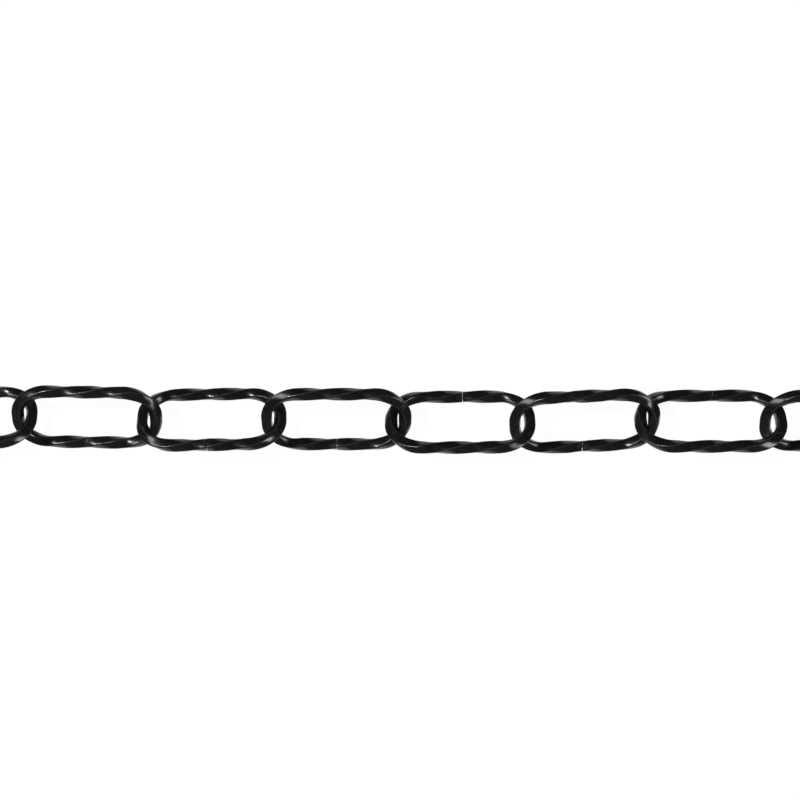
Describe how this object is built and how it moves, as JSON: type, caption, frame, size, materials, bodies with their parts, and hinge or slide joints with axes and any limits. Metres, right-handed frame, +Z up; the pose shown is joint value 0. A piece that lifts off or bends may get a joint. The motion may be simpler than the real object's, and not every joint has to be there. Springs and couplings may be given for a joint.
{
  "type": "decorative chain",
  "caption": "Straight length of black lacquered ornamental chain: long oblong links of left-hand twisted square bar, butt-jointed, leaning to alternate sides.",
  "frame": {"origin": "middle of the chain's footprint, on the floor it lies on", "axes": "+X along the chain, towards link_20; +Y across it, to the left of +X; +Z up from the floor"},
  "size_m": [1.0102, 0.0276, 0.026],
  "materials": {
    "black_lacquer": "gloss"
  },
  "bodies": {
    "link_01": {"link_01": "black_lacquer"},
    "link_02": {"link_02": "black_lacquer"},
    "link_03": {"link_03": "black_lacquer"},
    "link_04": {"link_04": "black_lacquer"},
    "link_05": {"link_05": "black_lacquer"},
    "link_06": {"link_06": "black_lacquer"},
    "link_07": {"link_07": "black_lacquer"},
    "link_08": {"link_08": "black_lacquer"},
    "link_09": {"link_09": "black_lacquer"},
    "link_10": {"link_10": "black_lacquer"},
    "link_11": {"link_11": "black_lacquer"},
    "link_12": {"link_12": "black_lacquer"},
    "link_13": {"link_13": "black_lacquer"},
    "link_14": {"link_14": "black_lacquer"},
    "link_15": {"link_15": "black_lacquer"},
    "link_16": {"link_16": "black_lacquer"},
    "link_17": {"link_17": "black_lacquer"},
    "link_18": {"link_18": "black_lacquer"},
    "link_19": {"link_19": "black_lacquer"},
    "link_20": {"link_20": "black_lacquer"}
  },
  "joints": [
    {"name": "swing_02", "type": "hinge", "parent": "link_01", "child": "link_02", "pos_m": [-0.44738, 0.00057, 0.01302], "axis": [-0.0109, 0.6946, -0.7193], "range_deg": [-120, 120]},
    {"name": "swing_03", "type": "hinge", "parent": "link_02", "child": "link_03", "pos_m": [-0.39727, 0.00013, 0.01302], "axis": [0, 0.6947, 0.7193], "range_deg": [-120, 120]},
    {"name": "swing_04", "type": "hinge", "parent": "link_03", "child": "link_04", "pos_m": [-0.34747, -0.00072, 0.01302], "axis": [0.0036, -0.6946, 0.7193], "range_deg": [-120, 120]},
    {"name": "swing_05", "type": "hinge", "parent": "link_04", "child": "link_05", "pos_m": [-0.29755, 0.00045, 0.01302], "axis": [0.0279, -0.6941, -0.7193], "range_deg": [-120, 120]},
    {"name": "swing_06", "type": "hinge", "parent": "link_05", "child": "link_06", "pos_m": [-0.24672, -0.00037, 0.01302], "axis": [-0.0024, 0.6947, -0.7193], "range_deg": [-120, 120]},
    {"name": "swing_07", "type": "hinge", "parent": "link_06", "child": "link_07", "pos_m": [-0.19734, 0.00061, 0.01302], "axis": [-0.0194, 0.6944, 0.7193], "range_deg": [-120, 120]},
    {"name": "swing_08", "type": "hinge", "parent": "link_07", "child": "link_08", "pos_m": [-0.14713, 0.00123, 0.01302], "axis": [0.0049, -0.6946, 0.7193], "range_deg": [-120, 120]},
    {"name": "swing_09", "type": "hinge", "parent": "link_08", "child": "link_09", "pos_m": [-0.09718, 0.0005, 0.01302], "axis": [-0.0109, -0.6946, -0.7193], "range_deg": [-120, 120]},
    {"name": "swing_10", "type": "hinge", "parent": "link_09", "child": "link_10", "pos_m": [-0.04738, 0.00057, 0.01302], "axis": [-0.0109, 0.6946, -0.7193], "range_deg": [-120, 120]},
    {"name": "swing_11", "type": "hinge", "parent": "link_10", "child": "link_11", "pos_m": [0.00273, 0.00013, 0.01302], "axis": [0, 0.6947, 0.7193], "range_deg": [-120, 120]},
    {"name": "swing_12", "type": "hinge", "parent": "link_11", "child": "link_12", "pos_m": [0.05253, -0.00072, 0.01302], "axis": [0.0036, -0.6946, 0.7193], "range_deg": [-120, 120]},
    {"name": "swing_13", "type": "hinge", "parent": "link_12", "child": "link_13", "pos_m": [0.10245, 0.00045, 0.01302], "axis": [0.0279, -0.6941, -0.7193], "range_deg": [-120, 120]},
    {"name": "swing_14", "type": "hinge", "parent": "link_13", "child": "link_14", "pos_m": [0.15328, -0.00037, 0.01302], "axis": [-0.0024, 0.6947, -0.7193], "range_deg": [-120, 120]},
    {"name": "swing_15", "type": "hinge", "parent": "link_14", "child": "link_15", "pos_m": [0.20266, 0.00061, 0.01302], "axis": [-0.0194, 0.6944, 0.7193], "range_deg": [-120, 120]},
    {"name": "swing_16", "type": "hinge", "parent": "link_15", "child": "link_16", "pos_m": [0.25287, 0.00123, 0.01302], "axis": [0.0049, -0.6946, 0.7193], "range_deg": [-120, 120]},
    {"name": "swing_17", "type": "hinge", "parent": "link_16", "child": "link_17", "pos_m": [0.30282, 0.0005, 0.01302], "axis": [-0.0109, -0.6946, -0.7193], "range_deg": [-120, 120]},
    {"name": "swing_18", "type": "hinge", "parent": "link_17", "child": "link_18", "pos_m": [0.35262, 0.00057, 0.01302], "axis": [-0.0109, 0.6946, -0.7193], "range_deg": [-120, 120]},
    {"name": "swing_19", "type": "hinge", "parent": "link_18", "child": "link_19", "pos_m": [0.40273, 0.00013, 0.01302], "axis": [0, 0.6947, 0.7193], "range_deg": [-120, 120]},
    {"name": "swing_20", "type": "hinge", "parent": "link_19", "child": "link_20", "pos_m": [0.45253, -0.00072, 0.01302], "axis": [0.0036, -0.6946, 0.7193], "range_deg": [-120, 120]}
  ]
}
